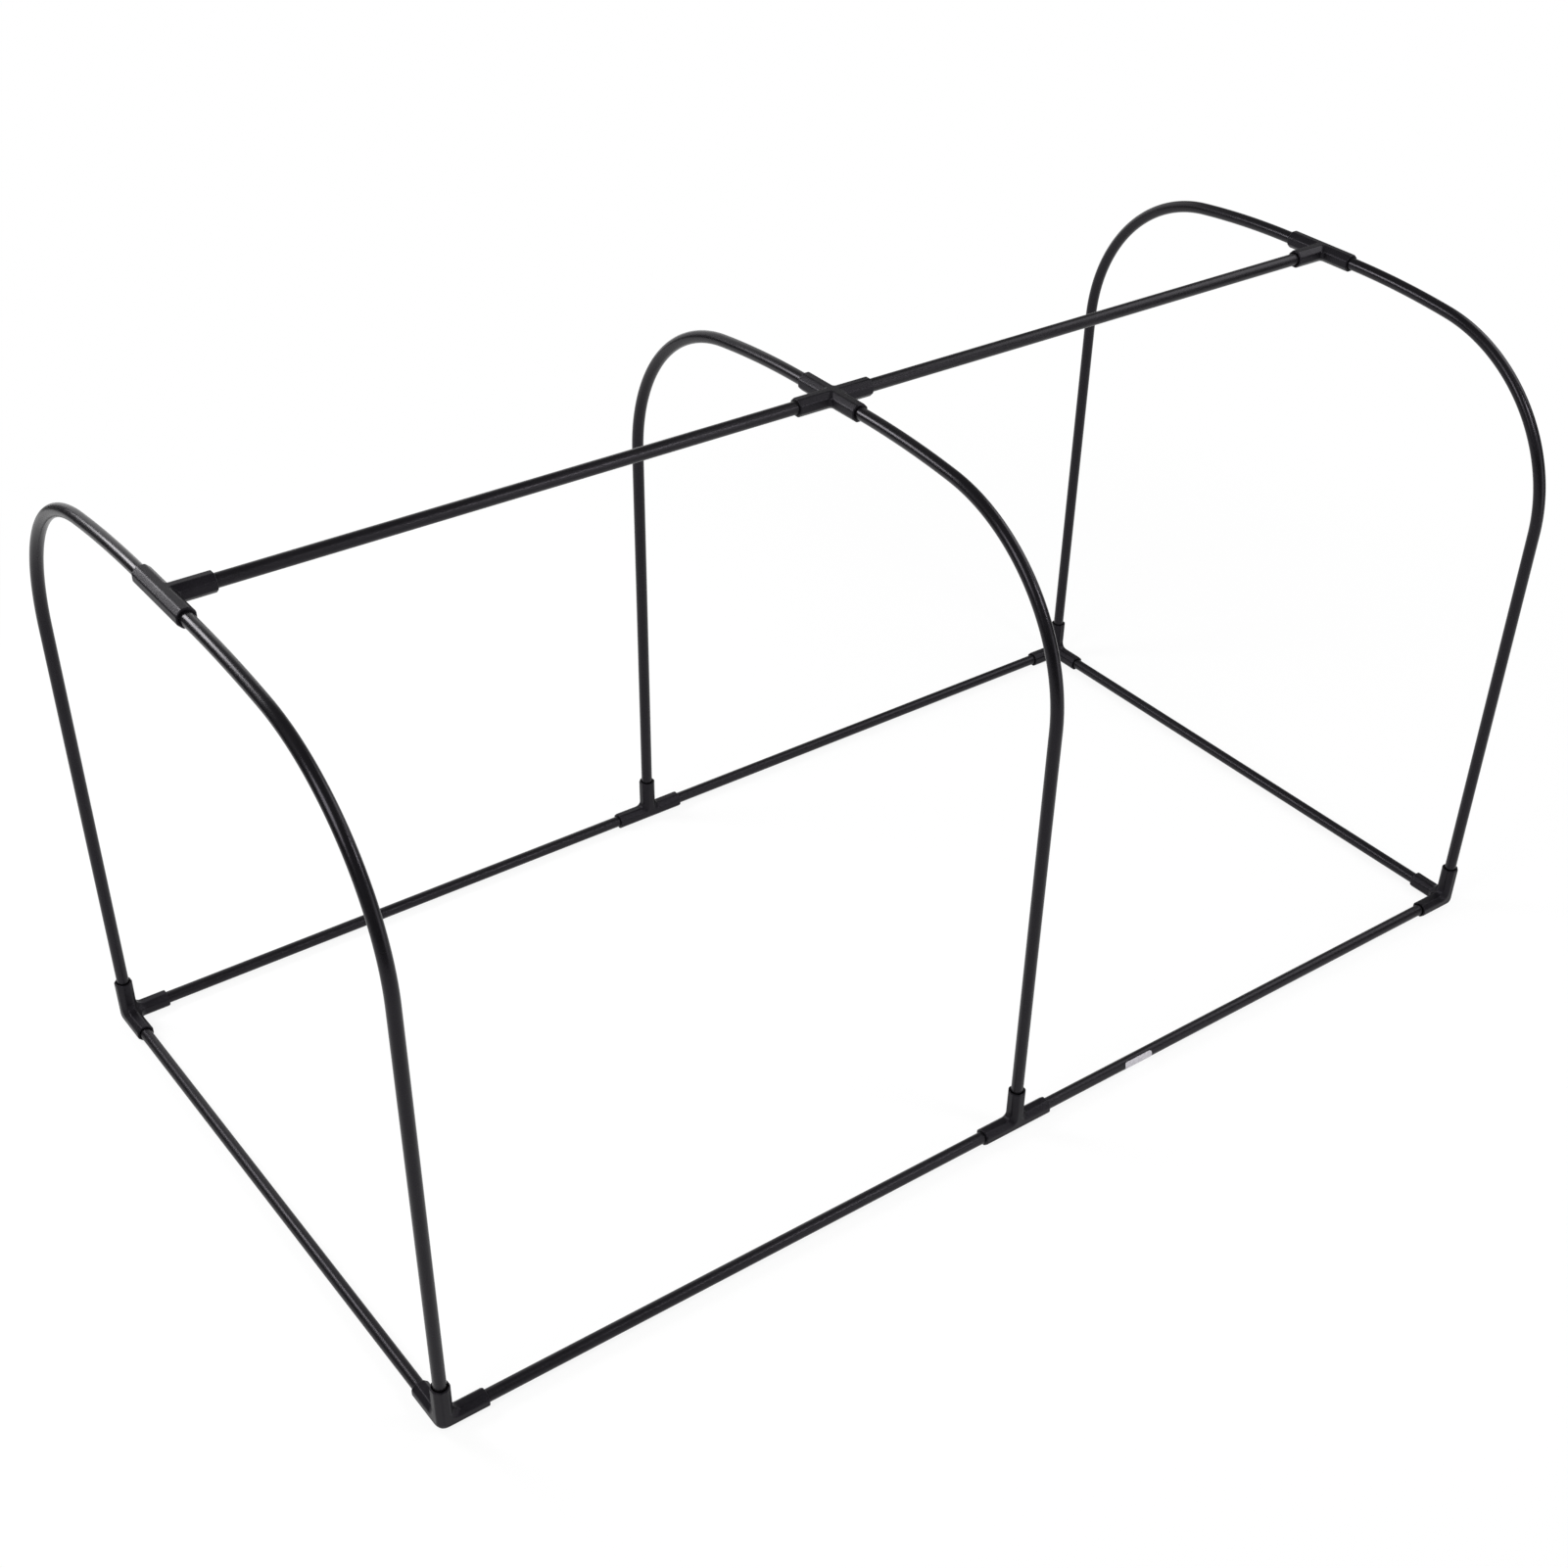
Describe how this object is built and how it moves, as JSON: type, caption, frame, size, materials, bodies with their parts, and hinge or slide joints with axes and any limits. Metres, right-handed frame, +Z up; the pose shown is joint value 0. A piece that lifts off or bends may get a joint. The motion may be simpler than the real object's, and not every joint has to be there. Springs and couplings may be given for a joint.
{
  "type": "garden hoop frame",
  "caption": "Black tubular tunnel frame for a garden row cover: bent hoops on base rods under a ridge rod, joined by eight-sided moulded push-fit connectors.",
  "frame": {"origin": "middle of the bounding box in plan, on the ground plane that the connectors' undersides stand on", "axes": "+X along the ridge, towards the right end hoop; +Y across the bed, towards the back; +Z up"},
  "size_m": [1.1998, 0.6218, 0.6077],
  "materials": {
    "moulded_black": "satin moulded plastic",
    "coated_tube": "smooth semi-gloss plastic coat on steel"
  },
  "bodies": {
    "root": {"corner_front_left": "moulded_black", "corner_front_right": "moulded_black", "corner_back_left": "moulded_black", "corner_back_right": "moulded_black", "base_tee_front": "moulded_black", "base_tee_back": "moulded_black", "ridge_tee_left": "moulded_black", "ridge_tee_right": "moulded_black", "ridge_cross": "moulded_black", "base_rod_front_left": "coated_tube", "base_rod_front_right": "coated_tube", "base_rod_back_left": "coated_tube", "base_rod_back_right": "coated_tube", "end_rod_left": "coated_tube", "end_rod_right": "coated_tube", "ridge_rod_left": "coated_tube", "ridge_rod_right": "coated_tube", "hoop_left_front": "coated_tube", "hoop_left_back": "coated_tube", "hoop_middle_front": "coated_tube", "hoop_middle_back": "coated_tube", "hoop_right_front": "coated_tube", "hoop_right_back": "coated_tube"}
  },
  "joints": []
}
